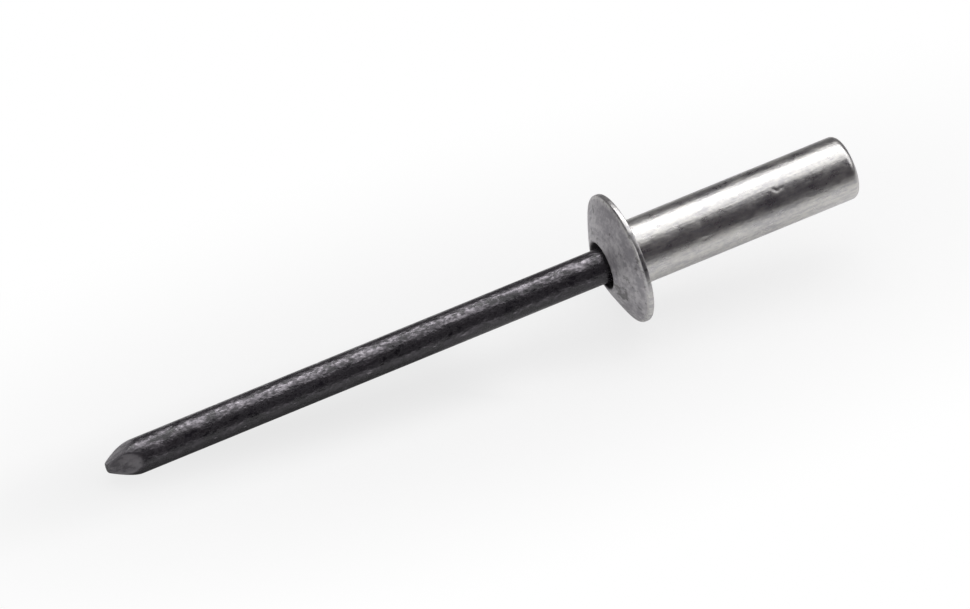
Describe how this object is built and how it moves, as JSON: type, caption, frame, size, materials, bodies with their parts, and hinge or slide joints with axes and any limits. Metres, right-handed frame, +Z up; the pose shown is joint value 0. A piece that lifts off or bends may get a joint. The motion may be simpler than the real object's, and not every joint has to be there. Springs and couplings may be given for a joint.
{
  "type": "pop rivet",
  "caption": "Closed-end blind rivet, not yet set: a domed flange on a sealed cylindrical body, with a pointed pulling mandrel through it, lying on a surface.",
  "frame": {"origin": "on the surface that the rivet lies on, under the middle of its length and width", "axes": "+X runs level from the mandrel's point to the body's closed end, +Z is up; the rivet's own axis rises 5.30 degrees from +X, because it rests on the rim of its flange and on the mandrel's point"},
  "size_m": [0.0392, 0.0064, 0.0065],
  "materials": {
    "satin_aluminium": "bright satin, as cold headed",
    "dark_steel": "charcoal phosphate coat, worn lighter in places"
  },
  "bodies": {
    "root": {"rivet_body": "satin_aluminium", "mandrel": "dark_steel"}
  },
  "joints": []
}
